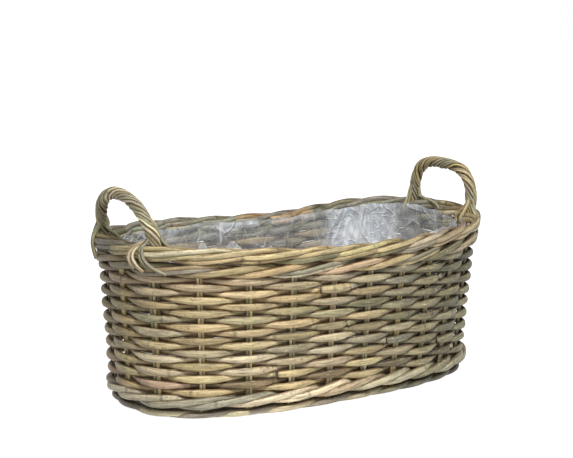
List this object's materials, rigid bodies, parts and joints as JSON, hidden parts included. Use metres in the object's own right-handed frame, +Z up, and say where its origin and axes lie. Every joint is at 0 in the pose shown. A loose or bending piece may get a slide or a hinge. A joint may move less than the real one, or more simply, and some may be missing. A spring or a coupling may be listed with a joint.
{
  "type": "oval planter basket",
  "caption": "Oval rattan planter basket: plain-woven wall on doubled stakes, waled border and foot, a rope handle at each end and a clear film liner.",
  "frame": {"origin": "on the surface the basket stands on, under the middle of its plan", "axes": "+X along the long way of the oval, +Y across it, +Z up"},
  "size_m": [0.5515, 0.298, 0.2779],
  "materials": {
    "straw": "dry satin rattan, straw",
    "grey": "weathered rattan, grey",
    "olive": "weathered rattan, olive",
    "tan": "dry satin rattan, tan",
    "film": "clear glossy film"
  },
  "bodies": {
    "root": {"base_mat": "grey", "cross_stake_1": "tan", "cross_stake_2a": "tan", "cross_stake_2b": "tan", "cross_stake_3a": "tan", "cross_stake_3b": "tan", "cross_stake_4a": "tan", "cross_stake_4b": "tan", "cross_stake_5a": "tan", "cross_stake_5b": "tan", "cross_stake_6a": "tan", "cross_stake_6b": "tan", "cross_stake_7a": "tan", "cross_stake_7b": "tan", "cross_stake_8a": "tan", "cross_stake_8b": "tan", "cross_stake_9": "tan", "foot_border": "grey", "foot_wale_1": "straw", "foot_wale_2": "straw", "foot_wale_3": "straw", "handle_left_core": "grey", "handle_left_rope": "olive", "handle_right_core": "grey", "handle_right_rope": "olive", "lashing_left_back": "grey", "lashing_left_front": "grey", "lashing_right_back": "grey", "lashing_right_front": "grey", "liner": "film", "long_stake_1a": "tan", "long_stake_1b": "tan", "long_stake_2a": "tan", "long_stake_2b": "tan", "long_stake_3a": "tan", "long_stake_3b": "tan", "rim_border_1": "straw", "rim_border_2": "straw", "rim_border_3": "straw", "top_wale_1": "tan", "top_wale_2": "tan", "top_wale_3": "tan", "weaver_row_01": "grey", "weaver_row_02": "tan", "weaver_row_03": "olive", "weaver_row_04": "straw", "weaver_row_05": "grey", "weaver_row_06": "tan", "weaver_row_07": "olive", "weaver_row_08": "straw", "weaver_row_09": "grey", "weaver_row_10": "tan", "weaver_row_11": "olive", "weaver_row_12": "straw", "weaver_row_13": "grey", "weaver_row_14": "tan", "weaver_row_15": "olive", "weaver_row_16": "straw", "weaver_row_17": "grey", "weaver_row_18": "tan"}
  },
  "joints": []
}
